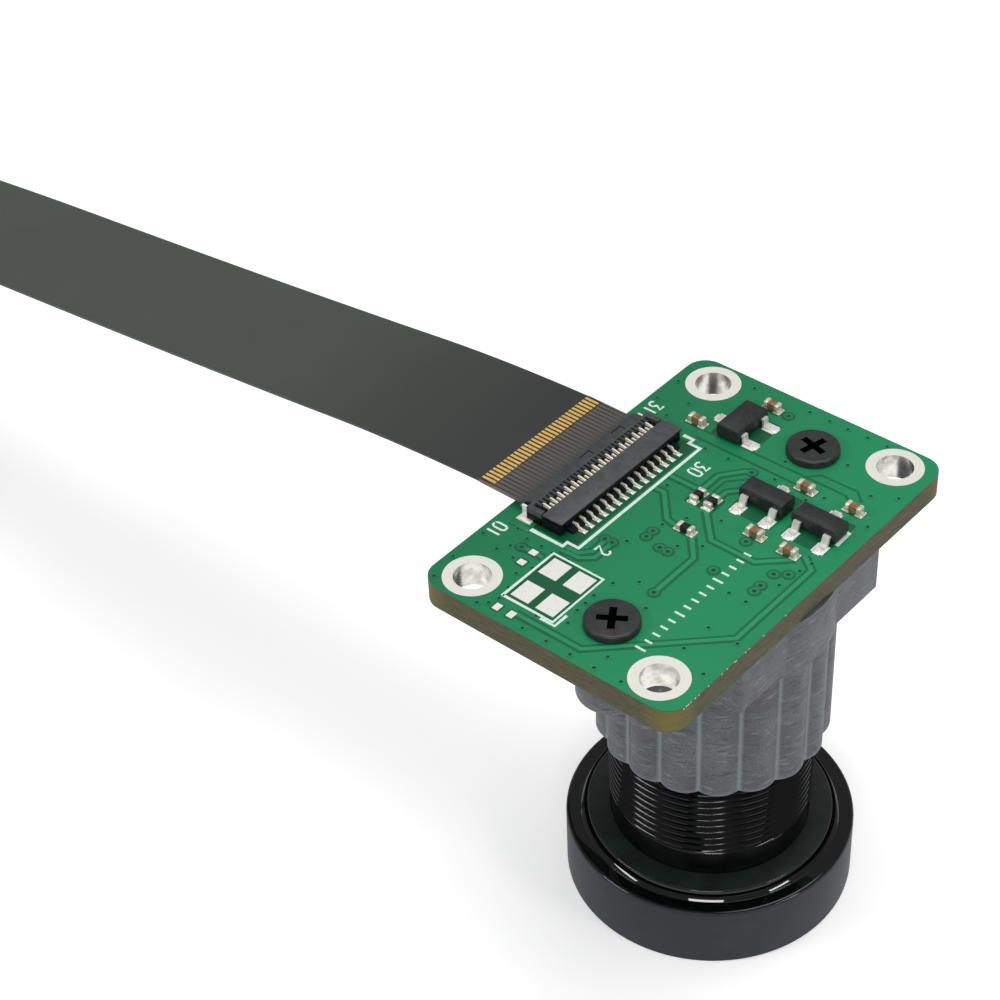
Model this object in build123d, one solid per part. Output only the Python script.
from build123d import *
import os
from math import copysign, cos, radians, sin, tan

# Board camera standing on the front of its lens. The origin is on the lens axis at the front rim,
# +Z points from the lens up through the board, +Y runs along the board's long side and +X across it,
# away from the cable. All sizes are millimetres.

# Circuit board
BOARD_LENGTH = 25.0
BOARD_WIDTH = 17.0
BOARD_THICKNESS = 1.5
BOARD_OFFSET = 1.9
BOARD_CORNER_RADIUS = 2.0
MOUNT_INSET_LENGTH = 1.85
MOUNT_INSET_WIDTH = 2.25
MOUNT_HOLE_RADIUS = 1.05
PLATING_WALL = 0.1
MOUNT_PAD_RADIUS = 1.63
COPPER_THICKNESS = 0.03
CUT_MARGIN = 1.0
JOIN_OVERLAP = 0.2

# Holder screws
SCREW_PITCH = 18.0
SCREW_SHANK_RADIUS = 0.8
SCREW_HEAD_RADIUS = 1.53
SCREW_HEAD_HEIGHT = 0.47
SCREW_LENGTH = 4.2
SCREW_RECESS_LENGTH = 1.75
SCREW_RECESS_WIDTH = 0.42
SCREW_RECESS_DEPTH = 0.3
BOARD_SCREW_CLEARANCE = 0.2
PILOT_CLEARANCE = 0.02

# Lens holder
HOLDER_BASE_SIDE = 12.8
HOLDER_BASE_HEIGHT = 3.2
HOLDER_EAR_RADIUS = 2.0
COLLAR_RADIUS = 6.78
COLLAR_HEIGHT = 3.65
COLLAR_CHAMFER = 0.25
FLUTE_COUNT = 18
FLUTE_CREST_RADIUS = 6.74
FLUTE_VALLEY_RADIUS = 6.42
LIGHT_OPENING_RADIUS = 3.9
LIGHT_WEB_THICKNESS = 1.2
POCKET_SIDE = 10.4
POCKET_DEPTH = 2.6
FILTER_RECESS_DEPTH = 0.5
PILOT_FLOOR = 0.5

# Lens barrel, turned in one piece
LENS_FRONT_TO_HOLDER = 11.8
LENS_LENGTH = 18.8
LENS_END_GAP = 0.65
THREAD_RADIUS = 5.95
THREAD_CLEARANCE = 0.05
THREAD_RIDGES = 4
THREAD_DEPTH = 0.29
THREAD_START = 6.0
NECK_RADIUS = 5.3
NECK_FOOT = 4.3
HEAD_RADIUS = 8.5
HEAD_HEIGHT = 4.2
HEAD_EDGE = 0.15
HEAD_STEP_RADIUS = 7.25
HEAD_STEP_HEIGHT = 0.45
HEAD_RECESS_RADIUS = 5.85
FRONT_BORE_RADIUS = 7.05
FRONT_SEAT_DEPTH = 3.0
WEB_OPENING_RADIUS = 4.0
WEB_THICKNESS = 1.6
INNER_BORE_RADIUS = 4.6
GLASS_CLEARANCE = 0.02

# Glass and rings inside the barrel
FRONT_RING_INSET = 0.3
FRONT_RING_HEIGHT = 1.5
FRONT_RING_OPENING = 6.0
FRONT_DOME_HEIGHT = 1.3
FRONT_HOLLOW_RADIUS = 4.3
FRONT_HOLLOW_DEPTH = 1.4
CLEAR_RADIUS = 3.8
SECOND_EDGE = 1.6
SECOND_DOME = 0.7
STOP_SPACER_SHARE = 0.6
SPACER_WALL = 0.58
STOP_THICKNESS = 0.2
STOP_RADIUS = 1.6
CROWN_EDGE = 1.6
CEMENT_DOME = 1.4
FLINT_EDGE = 2.4
REAR_EDGE = 1.8
REAR_DOME = 0.6
REAR_RING_LENGTH = 1.4
REAR_RING_INSET = 1.6

# Image sensor and filter behind the lens
FILTER_SIDE = 8.4
FILTER_THICKNESS = 0.3
FILTER_CLEARANCE = 0.1
SENSOR_SIDE = 9.0
SENSOR_THICKNESS = 1.3
WINDOW_SIDE = 7.4
WINDOW_THICKNESS = 0.55

# Cable connector
CONTACT_PITCH = 0.3
CONTACT_COUNT = 31
CONTACT_THICKNESS = 0.12
CONTACT_GAP = 0.02
CONTACT_POST_GAP = 0.05
CONTACT_BEND = 0.12
CONNECTOR_INSET = 0.95
CONNECTOR_DEPTH = 2.95
CONNECTOR_LENGTH = 10.64
CONNECTOR_HEIGHT = 0.9
HOUSING_STANDOFF = 0.03
CABLE_SLOT_FLOOR = 0.35
CABLE_SLOT_HEIGHT = 0.22
ROOF_DEPTH = 1.57
COMB_SLOT_LENGTH = 0.8
CONTACT_GROOVE_FLOOR = 0.18
CHEEK_WALL = 0.3
CHEEK_DEPTH = 2.1
NOTCH_LENGTH = 1.05
NOTCH_DEPTH = 0.55
NOTCH_SINK = 0.1
NOTCH_PLACES = (0.05, 2.85)
CONTACT_FOOT_LENGTH = 0.5
CONTACT_FOOT_HEIGHT = 0.1
CONTACT_TAIL_REACH = 0.8
FRONT_TAIL_REACH = 0.3

# Lock lever of the connector
LOCK_LENGTH = 10.64
LOCK_FRONT_REACH = 1.2
LOCK_BACK_REACH = 0.14
LOCK_THICKNESS = 0.43
LOCK_AXIS_DEPTH = 0.1
LOCK_AXIS_REACH = 1.85
LOCK_PIN_RADIUS = 0.1
LOCK_PIN_LENGTH = 0.22
LOCK_PIN_CLEARANCE = 0.04
LOCK_SIDE_GAP = 0.05
LOCK_EDGE_CHAMFER = 0.08

# Hold-down tabs at both ends of the connector
TAB_THICKNESS = 0.12
TAB_WIDTH = 0.4
TAB_HEIGHT = 0.7
TAB_FOOT_LENGTH = 1.0
TAB_FOOT_REACH = 0.55
TAB_INSET = 0.15

# Cable
CABLE_WIDTH = 9.6
CABLE_THICKNESS = 0.2
TONGUE_PLUGGED = 1.45
TONGUE_BARE = 3.25
STRIP_LENGTH = 0.95
STRIP_WIDTH = 0.17
FINGER_LENGTH = 3.0
STIFFENER_LENGTH = 4.5
STIFFENER_THICKNESS = 0.15
FLOOR_GAP = 0.02
ARC_SHARE = 0.45
CABLE_REST_X = -138.0
CABLE_END_X = -152.0
# Side view of the cable between its tongue and the floor: x, and height above the floor
CABLE_ROUTE = [
    (-19.0, 25.45),
    (-29.5, 24.05),
    (-45.0, 22.2),
    (-68.0, 19.7),
    (-90.0, 16.1),
    (-108.0, 10.4),
    (-124.0, 3.9),
]

# Three-lead chips: name, centre x, centre y, whether the long side runs along X, width of the body
CHIPS = [
    ("chip_a", -4.38, 8.3, False, 1.55),
    ("chip_b", 0.6, 3.75, True, 1.3),
    ("chip_c", 4.08, 3.75, True, 1.3),
]
CHIP_LENGTH = 2.9
CHIP_HEIGHT = 0.95
CHIP_STANDOFF = 0.08
CHIP_DRAFT = 6.0
LEAD_WIDTH = 0.42
LEAD_THICKNESS = 0.12
LEAD_SPAN = 2.55
LEAD_FOOT = 0.4
LEAD_KNEE = 0.12
LEAD_PITCH = 1.93

# Capacitors and resistors: centre x, centre y, whether the long side runs along X
CAPACITORS = [
    (-6.7, 7.17, True),
    (-4.07, 10.83, True),
    (1.6, 6.03, True),
    (4.7, 6.13, True),
    (1.66, 1.22, True),
    (3.92, 1.12, True),
]
RESISTORS = [(-2.66, 1.88, False), (-1.72, 1.88, False), (-1.52, -0.74, True)]
PASSIVE_LENGTH = 1.0
PASSIVE_WIDTH = 0.5
PASSIVE_END = 0.25
PASSIVE_CHAMFER = 0.05
CAPACITOR_HEIGHT = 0.46
RESISTOR_HEIGHT = 0.35

# Lands
LAND_MARGIN = 0.1
CONTACT_LAND_WIDTH = 0.26
CHIP_LAND_SPAN = 3.4
CHIP_LAND_LENGTH = 0.8
CHIP_LAND_WIDTH = 0.75

# Bare tinned lands: centre x, distance from the board's near end, size x, size y
BARE_LANDS = [
    (-5.02, 4.95, 1.2, 1.4),
    (-3.33, 4.95, 1.2, 1.4),
    (-5.02, 2.7, 1.2, 1.4),
    (-3.33, 2.7, 1.2, 1.4),
    (-6.8, 5.3, 0.45, 0.4),
    (-6.8, 4.32, 0.45, 0.4),
    (-5.53, 0.84, 0.4, 0.5),
    (-4.57, 0.84, 0.4, 0.5),
]

# Places worked out from the sizes above
bore_top = LENS_LENGTH + LENS_END_GAP
filter_seat = bore_top + LIGHT_WEB_THICKNESS
pocket_floor = filter_seat + FILTER_RECESS_DEPTH
holder_top = pocket_floor + POCKET_DEPTH
board_top = holder_top + BOARD_THICKNESS
land_top = board_top + COPPER_THICKNESS
connector_top = board_top + CONNECTOR_HEIGHT
connector_face_x = CONNECTOR_INSET - BOARD_OFFSET - BOARD_WIDTH / 2
connector_rear_x = connector_face_x + CONNECTOR_DEPTH
lock_axis_x = connector_face_x + LOCK_AXIS_REACH
lock_axis_z = connector_top - LOCK_AXIS_DEPTH
tongue_tip_x = connector_face_x + TONGUE_PLUGGED
tongue_end_x = connector_face_x - TONGUE_BARE
tongue_z = board_top + CABLE_SLOT_FLOOR + CABLE_SLOT_HEIGHT / 2
glass_radius = INNER_BORE_RADIUS - GLASS_CLEARANCE
cable_rest_z = FLOOR_GAP + STIFFENER_THICKNESS + CABLE_THICKNESS / 2
cable_points = [(tongue_end_x, tongue_z), *CABLE_ROUTE]
cable_points += [(CABLE_REST_X, cable_rest_z), (CABLE_END_X, cable_rest_z)]


def block(x0, x1, y0, y1, z0, z1):
    """A box between two corners."""
    solid = Box(x1 - x0, y1 - y0, z1 - z0)
    return Pos((x0 + x1) / 2, (y0 + y1) / 2, (z0 + z1) / 2) * solid


def disc(x, y, radius, z0, z1):
    """An upright cylinder from z0 to z1."""
    return Pos(x, y, (z0 + z1) / 2) * Cylinder(radius, z1 - z0)


def hole(x, y, radius, z0, z1):
    """The cut of a hole from z0 to z1 that runs on past z1."""
    return disc(x, y, radius, z0, z1 + CUT_MARGIN)


def turned(points):
    """A ring turned about the lens axis from (radius, height) points."""
    return revolve(make_face(Plane.XZ * Polyline(*points, close=True)), Axis.Z)


def ring(low, length, inner_radius, outer_radius):
    """A plain ring on the lens axis."""
    high = low + length
    return turned([(inner_radius, low), (outer_radius, low), (outer_radius, high), (inner_radius, high)])


def ball(vertex_z, rim_radius, rim_z):
    """The ball whose surface holds a vertex on the axis and a rim. It lies on its side, its poles away."""
    sag = rim_z - vertex_z
    radius = (rim_radius**2 + sag**2) / (2 * abs(sag))
    return Pos(0, 0, vertex_z + copysign(radius, sag)) * Rot(90, 0, 0) * Sphere(radius)


def cap(vertex_z, rim_radius, rim_z):
    """The part of such a ball from its vertex to just past its rim, so that it joins or cuts cleanly."""
    past = rim_z + copysign(JOIN_OVERLAP, rim_z - vertex_z)
    room = disc(0, 0, rim_radius + JOIN_OVERLAP, *sorted((vertex_z, past)))
    return room & ball(vertex_z, rim_radius, rim_z)


def prism(points, y, width):
    """An outline of (x, z) points, made width thick about the plane y."""
    face = make_face(Plane.XZ * Polyline(*points, close=True))
    return Pos(0, y + width / 2, 0) * extrude(face, width, dir=(0, -1, 0))


def contact_places(first):
    """The y of every second contact, from the given one on."""
    return [(i - (CONTACT_COUNT - 1) / 2) * CONTACT_PITCH for i in range(first, CONTACT_COUNT, 2)]


def mount_places():
    """Centres of the four plated mounting holes."""
    across = BOARD_WIDTH / 2 - MOUNT_INSET_WIDTH
    along = BOARD_LENGTH / 2 - MOUNT_INSET_LENGTH
    return [(x - BOARD_OFFSET, y) for x in (-across, across) for y in (-along, along)]


def screw_places():
    """Centres of the two holder screws."""
    return [(0, side * SCREW_PITCH / 2) for side in (-1, 1)]


def make_circuit_board():
    outline = RectangleRounded(BOARD_WIDTH, BOARD_LENGTH, BOARD_CORNER_RADIUS)
    board = Pos(-BOARD_OFFSET, 0, holder_top) * extrude(outline, BOARD_THICKNESS)
    for x, y in mount_places():
        board -= hole(x, y, MOUNT_HOLE_RADIUS + PLATING_WALL, holder_top, board_top)
    for x, y in screw_places():
        board -= hole(x, y, SCREW_SHANK_RADIUS + BOARD_SCREW_CLEARANCE, holder_top, board_top)
    return board


def make_hole_plating():
    """Plated mounting holes: a tube through the board with a flat ring on both faces."""
    inner = MOUNT_HOLE_RADIUS
    tube = inner + PLATING_WALL
    low = holder_top - COPPER_THICKNESS
    profile = [(inner, low), (MOUNT_PAD_RADIUS, low), (MOUNT_PAD_RADIUS, holder_top), (tube, holder_top)]
    profile += [(tube, board_top), (MOUNT_PAD_RADIUS, board_top), (MOUNT_PAD_RADIUS, land_top)]
    profile += [(inner, land_top)]
    return Compound(children=[Pos(x, y, 0) * turned(profile) for x, y in mount_places()])


def land(x, y, size_x, size_y):
    """One tinned land on the board."""
    return block(x - size_x / 2, x + size_x / 2, y - size_y / 2, y + size_y / 2, board_top, land_top)


def connector_lands():
    """Lands under both rows of contact feet and under the two hold-down tabs."""
    foot = CONTACT_FOOT_LENGTH
    rear_x = connector_rear_x + CONTACT_TAIL_REACH - foot / 2
    front_x = connector_face_x - FRONT_TAIL_REACH + foot / 2
    lands = [land(rear_x, y, foot, CONTACT_LAND_WIDTH) for y in contact_places(1)]
    lands += [land(front_x, y, foot, CONTACT_LAND_WIDTH) for y in contact_places(0)]
    x = connector_face_x + TAB_INSET + TAB_FOOT_LENGTH / 2
    y = CONNECTOR_LENGTH / 2 + TAB_FOOT_REACH / 2 + LAND_MARGIN
    size = (TAB_FOOT_LENGTH + 2 * LAND_MARGIN, TAB_FOOT_REACH + 2 * LAND_MARGIN)
    return lands + [land(x, side * y, *size) for side in (-1, 1)]


def chip_lands(x, y, along_x):
    """Lands under the three feet of a chip, longer than the feet on the outer side."""
    long = CHIP_LAND_LENGTH
    wide = CHIP_LAND_WIDTH
    lands = []
    for across, along in lead_places():
        reach = copysign(CHIP_LAND_SPAN / 2 - long / 2, across)
        if along_x:
            lands.append(land(x + along, y + reach, wide, long))
        else:
            lands.append(land(x - reach, y + along, long, wide))
    return lands


def passive_lands(x, y, along_x):
    """The two lands of a capacitor or resistor, a little past its ends."""
    reach = (PASSIVE_LENGTH - PASSIVE_END) / 2 + LAND_MARGIN / 2
    long = PASSIVE_END + 2 * LAND_MARGIN
    wide = PASSIVE_WIDTH + LAND_MARGIN
    if along_x:
        return [land(x + side * reach, y, long, wide) for side in (-1, 1)]
    return [land(x, y + side * reach, wide, long) for side in (-1, 1)]


def make_solder_lands():
    lands = [land(x, gap - BOARD_LENGTH / 2, *size) for x, gap, *size in BARE_LANDS]
    lands += connector_lands()
    for _, x, y, along_x, _ in CHIPS:
        lands += chip_lands(x, y, along_x)
    for place in CAPACITORS + RESISTORS:
        lands += passive_lands(*place)
    return Compound(children=lands)


def make_holder_screws():
    recess = Box(SCREW_RECESS_LENGTH, SCREW_RECESS_WIDTH, 2 * SCREW_RECESS_DEPTH)
    recess += Box(SCREW_RECESS_WIDTH, SCREW_RECESS_LENGTH, 2 * SCREW_RECESS_DEPTH)
    head_z = board_top + SCREW_HEAD_HEIGHT
    screw = disc(0, 0, SCREW_HEAD_RADIUS, board_top, head_z)
    screw += disc(0, 0, SCREW_SHANK_RADIUS, board_top - SCREW_LENGTH, board_top)
    screw -= Pos(0, 0, head_z) * recess
    return Compound(children=[Pos(x, y, 0) * screw for x, y in screw_places()])


def on_circle(radius, angle):
    return radius * cos(angle), radius * sin(angle)


def fluted_section():
    """Cross-section of the barrel: convex lobes that meet in sharp grooves."""
    step = radians(360 / FLUTE_COUNT)
    lobes = []
    for i in range(FLUTE_COUNT):
        start = on_circle(FLUTE_VALLEY_RADIUS, i * step)
        crest = on_circle(FLUTE_CREST_RADIUS, (i + 0.5) * step)
        end = on_circle(FLUTE_VALLEY_RADIUS, (i + 1) * step)
        lobes.append(ThreePointArc(start, crest, end))
    return make_face(Curve() + lobes)


def make_lens_holder():
    bottom = LENS_FRONT_TO_HOLDER
    collar_z = holder_top - COLLAR_HEIGHT
    holder = Pos(0, 0, bottom) * extrude(fluted_section(), holder_top - COLLAR_CHAMFER - bottom)
    inset = COLLAR_RADIUS - COLLAR_CHAMFER
    collar = [(0, collar_z), (inset, collar_z), (COLLAR_RADIUS, collar_z + COLLAR_CHAMFER)]
    collar += [(COLLAR_RADIUS, holder_top - COLLAR_CHAMFER), (inset, holder_top), (0, holder_top)]
    holder += turned(collar)
    base_z = holder_top - HOLDER_BASE_HEIGHT
    half = HOLDER_BASE_SIDE / 2
    holder += block(-half, half, -half, half, base_z, holder_top)
    ear = SlotCenterToCenter(SCREW_PITCH, 2 * HOLDER_EAR_RADIUS, rotation=90)
    holder += Pos(0, 0, base_z) * extrude(ear, HOLDER_BASE_HEIGHT)
    holder -= disc(0, 0, THREAD_RADIUS + THREAD_CLEARANCE, bottom - CUT_MARGIN, bore_top)
    holder -= disc(0, 0, LIGHT_OPENING_RADIUS, bottom, holder_top)
    seat = FILTER_SIDE / 2 + FILTER_CLEARANCE
    holder -= block(-seat, seat, -seat, seat, filter_seat, holder_top)
    pocket = POCKET_SIDE / 2
    holder -= block(-pocket, pocket, -pocket, pocket, pocket_floor, holder_top + CUT_MARGIN)
    pilot = SCREW_SHANK_RADIUS + PILOT_CLEARANCE
    for x, y in screw_places():
        holder -= hole(x, y, pilot, base_z + PILOT_FLOOR, holder_top)
    return holder


def make_ir_filter():
    half = FILTER_SIDE / 2
    return block(-half, half, -half, half, filter_seat, filter_seat + FILTER_THICKNESS)


def make_sensor_package():
    half = SENSOR_SIDE / 2
    return block(-half, half, -half, half, holder_top - SENSOR_THICKNESS, holder_top)


def make_sensor_window():
    half = WINDOW_SIDE / 2
    high = holder_top - SENSOR_THICKNESS
    return block(-half, half, -half, half, high - WINDOW_THICKNESS, high)


def thread_outline():
    """The thread from the rear end to the neck, with a few coarse ridges for its open stretch."""
    step = (LENS_FRONT_TO_HOLDER - THREAD_START) / (2 * THREAD_RIDGES + 1)
    outline = [(THREAD_RADIUS, LENS_LENGTH)]
    for i in range(THREAD_RIDGES + 1):
        crest_z = LENS_FRONT_TO_HOLDER - 2 * i * step
        outline += [(THREAD_RADIUS, crest_z), (THREAD_RADIUS - THREAD_DEPTH, crest_z - step)]
    return outline


def make_lens_barrel():
    """The barrel: a wide head at the front, a neck, and the threaded tube behind it."""
    step_z = HEAD_HEIGHT + HEAD_STEP_HEIGHT
    web_z = FRONT_SEAT_DEPTH + WEB_THICKNESS
    inside = [(FRONT_BORE_RADIUS, 0), (FRONT_BORE_RADIUS, FRONT_SEAT_DEPTH)]
    inside += [(WEB_OPENING_RADIUS, FRONT_SEAT_DEPTH), (WEB_OPENING_RADIUS, web_z)]
    inside += [(INNER_BORE_RADIUS, web_z), (INNER_BORE_RADIUS, LENS_LENGTH)]
    neck = [(NECK_RADIUS, THREAD_START), (NECK_RADIUS, NECK_FOOT), (HEAD_RECESS_RADIUS, NECK_FOOT)]
    back = [(HEAD_RECESS_RADIUS, step_z), (HEAD_STEP_RADIUS, step_z)]
    back += [(HEAD_STEP_RADIUS + HEAD_STEP_HEIGHT, HEAD_HEIGHT), (HEAD_RADIUS - HEAD_EDGE, HEAD_HEIGHT)]
    side = [(HEAD_RADIUS, HEAD_HEIGHT - HEAD_EDGE), (HEAD_RADIUS, HEAD_EDGE), (HEAD_RADIUS - HEAD_EDGE, 0)]
    return turned(inside + thread_outline() + neck + back + side)


def make_front_ring():
    radius = FRONT_BORE_RADIUS - THREAD_CLEARANCE
    return ring(FRONT_RING_INSET, FRONT_RING_HEIGHT, FRONT_RING_OPENING, radius)


def make_front_lens():
    rim_z = FRONT_RING_INSET + FRONT_RING_HEIGHT
    element = disc(0, 0, FRONT_BORE_RADIUS - THREAD_CLEARANCE, rim_z, FRONT_SEAT_DEPTH)
    element += cap(rim_z - FRONT_DOME_HEIGHT, FRONT_RING_OPENING, rim_z)
    return element - cap(FRONT_SEAT_DEPTH - FRONT_HOLLOW_DEPTH, FRONT_HOLLOW_RADIUS, FRONT_SEAT_DEPTH)


def spacer_lengths():
    """Lengths of the two spacers, which share what the other pieces leave free in the barrel."""
    taken = FRONT_SEAT_DEPTH + WEB_THICKNESS + SECOND_EDGE + STOP_THICKNESS + CROWN_EDGE + FLINT_EDGE
    taken += REAR_EDGE + REAR_RING_LENGTH + REAR_RING_INSET
    free = LENS_LENGTH - taken
    return STOP_SPACER_SHARE * free, (1 - STOP_SPACER_SHARE) * free


def stack_heights():
    """Where each piece behind the barrel's web starts, going away from the front."""
    stop_spacer, rear_spacer = spacer_lengths()
    lengths = [SECOND_EDGE, stop_spacer, STOP_THICKNESS, CROWN_EDGE + FLINT_EDGE]
    lengths += [rear_spacer, REAR_EDGE, REAR_RING_LENGTH]
    heights = [FRONT_SEAT_DEPTH + WEB_THICKNESS]
    for length in lengths:
        heights.append(heights[-1] + length)
    return heights


def make_second_lens():
    low = stack_heights()[0]
    return disc(0, 0, glass_radius, low, low + SECOND_EDGE) + cap(low - SECOND_DOME, CLEAR_RADIUS, low)


def make_doublet():
    """Two elements that share one spherical face."""
    low = stack_heights()[3]
    rim_z = low + CROWN_EDGE
    joint = ball(rim_z + CEMENT_DOME, glass_radius, rim_z)
    crown = disc(0, 0, glass_radius, low, rim_z + CEMENT_DOME) & joint
    flint = disc(0, 0, glass_radius, low, rim_z + FLINT_EDGE) - joint
    return crown, flint


def make_rear_lens():
    low = stack_heights()[5]
    high = low + REAR_EDGE
    return disc(0, 0, glass_radius, low, high) + cap(high + REAR_DOME, CLEAR_RADIUS, high)


def make_housing():
    """The connector's insulator: floor, roof with a comb of contact slots, and two end cheeks."""
    half = CONNECTOR_LENGTH / 2
    inner = half - CHEEK_WALL
    face = connector_face_x
    low = board_top + HOUSING_STANDOFF
    floor_z = board_top + CABLE_SLOT_FLOOR
    roof_z = floor_z + CABLE_SLOT_HEIGHT
    housing = block(face, connector_rear_x, -half, half, low, floor_z)
    housing += block(face, face + ROOF_DEPTH, -half, half, roof_z, connector_top)
    for side in (-1, 1):
        housing += block(face, face + CHEEK_DEPTH, *sorted((side * inner, side * half)), low, connector_top)
    slot = CONTACT_THICKNESS + 2 * CONTACT_GAP
    groove_z = board_top + CONTACT_GROOVE_FLOOR
    comb_x = face + ROOF_DEPTH - COMB_SLOT_LENGTH
    near, far = face - CUT_MARGIN, connector_rear_x + CUT_MARGIN
    above = connector_top + CUT_MARGIN
    for y in contact_places(0) + contact_places(1):
        housing -= block(near, far, y - slot / 2, y + slot / 2, groove_z, roof_z)
        housing -= block(comb_x, far, y - slot / 2, y + slot / 2, roof_z, above)
    for y in NOTCH_PLACES:
        ends = (y - NOTCH_LENGTH / 2, y + NOTCH_LENGTH / 2)
        housing -= block(near, face + NOTCH_DEPTH, *ends, connector_top - NOTCH_SINK, above)
    pin = Cylinder(LOCK_PIN_RADIUS + LOCK_PIN_CLEARANCE, CONNECTOR_LENGTH - 2 * LOCK_SIDE_GAP)
    return housing - Pos(lock_axis_x, 0, lock_axis_z) * Rot(90, 0, 0) * pin


def contact_beam():
    """Side view of the part that every contact shares: a beam under the cable and a post behind it."""
    low = board_top + CONTACT_GROOVE_FLOOR + CONTACT_GAP
    high = board_top + CABLE_SLOT_FLOOR - CONTACT_GAP
    post_x = tongue_tip_x + CONTACT_POST_GAP
    return low, high, post_x, post_x + CONTACT_THICKNESS


def make_rear_contacts():
    """Contacts with their soldered tails on the lever's side."""
    low, high, post_x, back_x = contact_beam()
    tail_x = connector_rear_x + CONTACT_TAIL_REACH
    bend_x = tail_x - CONTACT_FOOT_LENGTH
    top = board_top + CABLE_SLOT_FLOOR + CABLE_SLOT_HEIGHT
    foot_z = land_top + CONTACT_FOOT_HEIGHT
    outline = [(post_x, top), (back_x, top), (back_x, high), (bend_x, high)]
    outline += [(bend_x + CONTACT_BEND, foot_z), (tail_x, foot_z), (tail_x, land_top)]
    outline += [(bend_x, land_top), (bend_x - CONTACT_BEND, low), (post_x, low)]
    return Compound(children=[prism(outline, y, CONTACT_THICKNESS) for y in contact_places(1)])


def make_front_contacts():
    """Contacts with their tails under the cable, whose upper arms show in the comb."""
    low, high, post_x, back_x = contact_beam()
    tail_x = connector_face_x - FRONT_TAIL_REACH
    bend_x = connector_face_x - CONTACT_GAP
    arm_x = connector_face_x + ROOF_DEPTH - COMB_SLOT_LENGTH + CONTACT_GAP
    arm_z = board_top + CABLE_SLOT_FLOOR + CABLE_SLOT_HEIGHT + CONTACT_GAP
    crown_z = connector_top - CONTACT_THICKNESS
    foot_z = land_top + CONTACT_FOOT_HEIGHT
    outline = [(tail_x, land_top), (bend_x, land_top), (bend_x, low), (back_x, low), (back_x, crown_z)]
    outline += [(post_x, crown_z), (arm_x, arm_z + CONTACT_THICKNESS), (arm_x, arm_z), (post_x, arm_z)]
    outline += [(post_x, high), (bend_x - CONTACT_THICKNESS, high), (bend_x - CONTACT_THICKNESS, foot_z)]
    outline += [(tail_x, foot_z)]
    return Compound(children=[prism(outline, y, CONTACT_THICKNESS) for y in contact_places(0)])


def make_hold_down_tabs():
    """L-shaped straps that solder the ends of the housing to the board."""
    tabs = []
    wall = CONNECTOR_LENGTH / 2
    x = connector_face_x + TAB_INSET
    for side in (-1, 1):
        near, far = side * wall, side * (wall + TAB_THICKNESS)
        strap = block(x, x + TAB_WIDTH, *sorted((near, far)), land_top, board_top + TAB_HEIGHT)
        toe = side * (wall + TAB_FOOT_REACH)
        strap += block(x, x + TAB_FOOT_LENGTH, *sorted((near, toe)), land_top, land_top + TAB_THICKNESS)
        tabs.append(strap)
    return Compound(children=tabs)


def make_lock_lever():
    """The lever that clamps the cable: a flat bar on two pins, lying shut."""
    back = lock_axis_x - LOCK_BACK_REACH
    front = lock_axis_x + LOCK_FRONT_REACH
    low = connector_top - LOCK_THICKNESS
    cheek_end = connector_face_x + CHEEK_DEPTH + LOCK_SIDE_GAP
    inner = CONNECTOR_LENGTH / 2 - CHEEK_WALL - LOCK_SIDE_GAP
    half = LOCK_LENGTH / 2
    bar = block(cheek_end, front, -half, half, low, connector_top)
    bar = chamfer(bar.edges().filter_by(Axis.Y).group_by(Axis.X)[-1], LOCK_EDGE_CHAMFER)
    bar += block(back, cheek_end, -inner, inner, low, connector_top)
    pin = Cylinder(LOCK_PIN_RADIUS, 2 * (inner + LOCK_PIN_LENGTH))
    return bar + Pos(lock_axis_x, 0, lock_axis_z) * Rot(90, 0, 0) * pin


def make_cable_tongue():
    half = CABLE_WIDTH / 2
    thick = CABLE_THICKNESS / 2
    return block(tongue_end_x, tongue_tip_x, -half, half, tongue_z - thick, tongue_z + thick)


def strips(x0, x1, z):
    """A row of gold strips, one for each contact, lying on the cable at height z."""
    half = STRIP_WIDTH / 2
    places = contact_places(0) + contact_places(1)
    return Compound(children=[block(x0, x1, y - half, y + half, z, z + COPPER_THICKNESS) for y in places])


def corner_radii(points):
    """The largest arc that fits each corner of the cable's route."""
    radii = []
    for a, b, c in zip(points, points[1:], points[2:]):
        before = Vector(b[0] - a[0], b[1] - a[1])
        after = Vector(c[0] - b[0], c[1] - b[1])
        half_turn = radians(before.get_angle(after) / 2)
        radii.append(ARC_SHARE * min(before.length, after.length) / tan(half_turn))
    return radii


def make_ribbon_cable():
    radii = corner_radii(cable_points)
    path = Plane.XZ * FilletPolyline(*cable_points, radius=radii)
    start = Plane(origin=path @ 0, x_dir=(0, 1, 0), z_dir=path % 0)
    cable = sweep(start * Rectangle(CABLE_WIDTH, CABLE_THICKNESS), path=path)
    section = CABLE_WIDTH * CABLE_THICKNESS
    print("cable radii", [round(r) for r in radii], "length", round(path.length, 2))
    print("cable volume", round(cable.volume, 2), "section times length", round(section * path.length, 2))
    return cable


def make_cable_stiffener():
    half = CABLE_WIDTH / 2
    end_x, end_z = cable_points[-1]
    high = end_z - CABLE_THICKNESS / 2
    return block(end_x, end_x + STIFFENER_LENGTH, -half, half, high - STIFFENER_THICKNESS, high)


def make_cable_fingers():
    end_x, end_z = cable_points[-1]
    return strips(end_x, end_x + FINGER_LENGTH, end_z + CABLE_THICKNESS / 2)


def lead_places():
    """Each lead's side, across the chip, and its place along it."""
    return [(-1, -LEAD_PITCH / 2), (-1, LEAD_PITCH / 2), (1, 0)]


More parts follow.
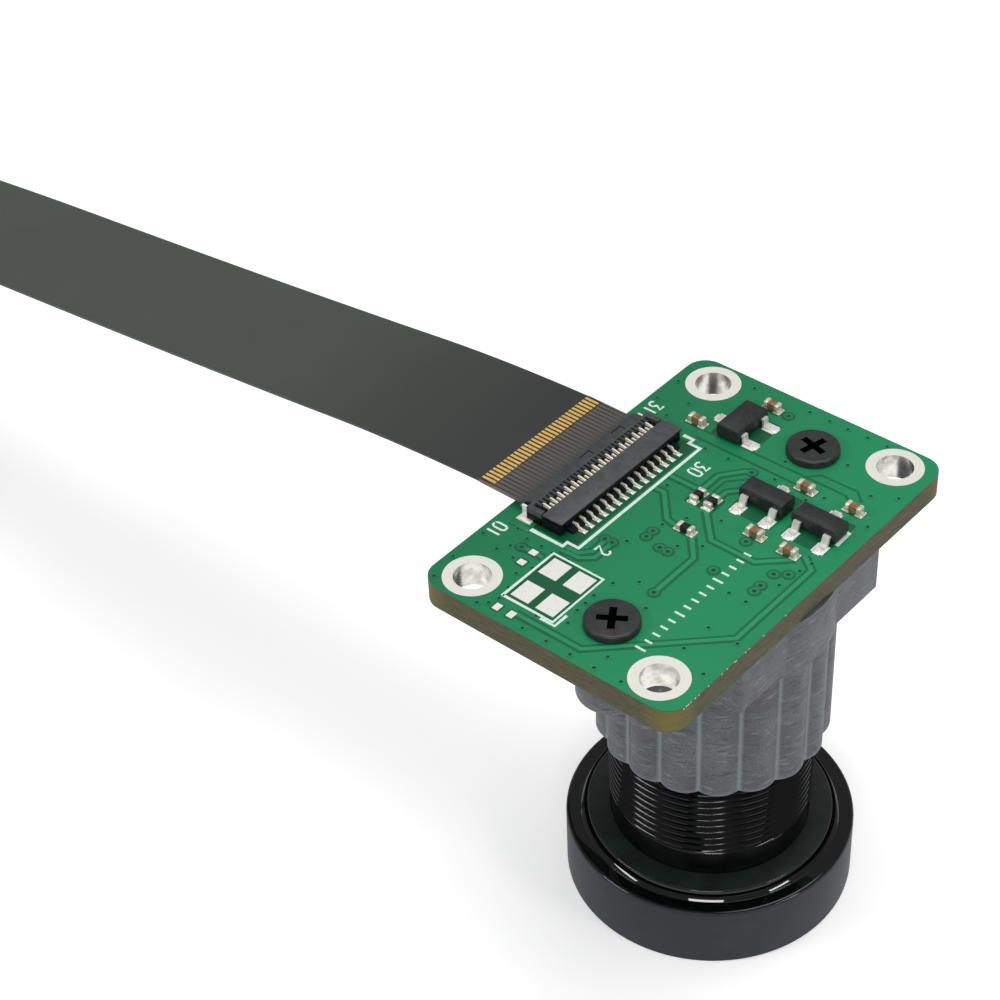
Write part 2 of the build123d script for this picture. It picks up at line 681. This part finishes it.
def make_chip_body(x, y, along_x, width):
    """A moulded body that tapers both ways from its middle."""
    outline = Rectangle(width, CHIP_LENGTH)
    half = (CHIP_HEIGHT - CHIP_STANDOFF) / 2
    middle = board_top + CHIP_STANDOFF + half
    body = extrude(outline, half, taper=CHIP_DRAFT)
    body += mirror(body, Plane.XY)
    return Pos(x, y, middle) * Rot(0, 0, -90 if along_x else 180) * body


def make_chip_leads(x, y, along_x, width):
    """Three bent leads: out of the body, down, and flat on the board."""
    middle = board_top + (CHIP_HEIGHT + CHIP_STANDOFF) / 2
    wall = width / 2
    reach = LEAD_SPAN / 2
    half = LEAD_THICKNESS / 2
    knee = wall + LEAD_KNEE
    outline = [(wall, middle - half), (knee - half, middle - half), (reach - LEAD_FOOT, land_top)]
    outline += [(reach, land_top), (reach, land_top + LEAD_THICKNESS)]
    outline += [(reach - LEAD_FOOT + LEAD_THICKNESS, land_top + LEAD_THICKNESS)]
    outline += [(knee + half, middle + half), (wall, middle + half)]
    leads = []
    for across, along in lead_places():
        lead = prism(outline, 0, LEAD_WIDTH)
        if across < 0:
            lead = Rot(0, 0, 180) * lead
        leads.append(Pos(0, -along if along_x else along, 0) * lead)
    turn = Rot(0, 0, 90 if along_x else 180)
    return Compound(children=[Pos(x, y, 0) * turn * lead for lead in leads])


def make_passive(x, y, along_x, height):
    """A chip capacitor or resistor: its body and its two soldered ends."""
    turn = Rot(0, 0, 0 if along_x else 90)
    high = land_top + height
    inner = PASSIVE_LENGTH / 2 - PASSIVE_END
    wide = PASSIVE_WIDTH / 2
    slim = wide - COPPER_THICKNESS
    body = block(-inner, inner, -slim, slim, land_top, high - COPPER_THICKNESS)
    end = block(inner, PASSIVE_LENGTH / 2, -wide, wide, land_top, high)
    end = chamfer(end.edges().filter_by(Axis.Z).group_by(Axis.X)[-1], PASSIVE_CHAMFER)
    place = Pos(x, y, 0) * turn
    return place * body, Compound(children=[place * end, place * Rot(0, 0, 180) * end])


def all_nodes():
    """Every piece of the camera by name."""
    heights = stack_heights()
    stop_spacer, rear_spacer = spacer_lengths()
    ring_inner = glass_radius - SPACER_WALL
    crown, flint = make_doublet()
    nodes = {
        "circuit_board": make_circuit_board(),
        "hole_plating": make_hole_plating(),
        "solder_lands": make_solder_lands(),
        "holder_screws": make_holder_screws(),
        "lens_holder": make_lens_holder(),
        "ir_filter": make_ir_filter(),
        "sensor_package": make_sensor_package(),
        "sensor_window": make_sensor_window(),
        "lens_barrel": make_lens_barrel(),
        "front_ring": make_front_ring(),
        "front_lens": make_front_lens(),
        "second_lens": make_second_lens(),
        "stop_spacer": ring(heights[1], stop_spacer, ring_inner, glass_radius),
        "aperture_stop": ring(heights[2], STOP_THICKNESS, STOP_RADIUS, glass_radius),
        "crown_lens": crown,
        "flint_lens": flint,
        "rear_spacer": ring(heights[4], rear_spacer, ring_inner, glass_radius),
        "rear_lens": make_rear_lens(),
        "rear_ring": ring(heights[6], REAR_RING_LENGTH, ring_inner, glass_radius),
        "connector_housing": make_housing(),
        "rear_contacts": make_rear_contacts(),
        "front_contacts": make_front_contacts(),
        "hold_down_tabs": make_hold_down_tabs(),
        "lock_lever": make_lock_lever(),
        "cable_tongue": make_cable_tongue(),
        "cable_strips": strips(tongue_end_x, tongue_end_x + STRIP_LENGTH, tongue_z + CABLE_THICKNESS / 2),
        "ribbon_cable": make_ribbon_cable(),
        "cable_stiffener": make_cable_stiffener(),
        "cable_fingers": make_cable_fingers(),
    }
    for name, *place in CHIPS:
        nodes[name + "_body"] = make_chip_body(*place)
        nodes[name + "_leads"] = make_chip_leads(*place)
    for kind, places, height in (
        ("capacitor", CAPACITORS, CAPACITOR_HEIGHT),
        ("resistor", RESISTORS, RESISTOR_HEIGHT),
    ):
        for number, place in enumerate(places, 1):
            body, ends = make_passive(*place, height)
            nodes[f"{kind}_{number}_body"] = body
            nodes[f"{kind}_{number}_ends"] = ends
    return nodes


os.makedirs("parts", exist_ok=True)
for node_name, shape in all_nodes().items():
    export_step(shape, f"parts/{node_name}.step")
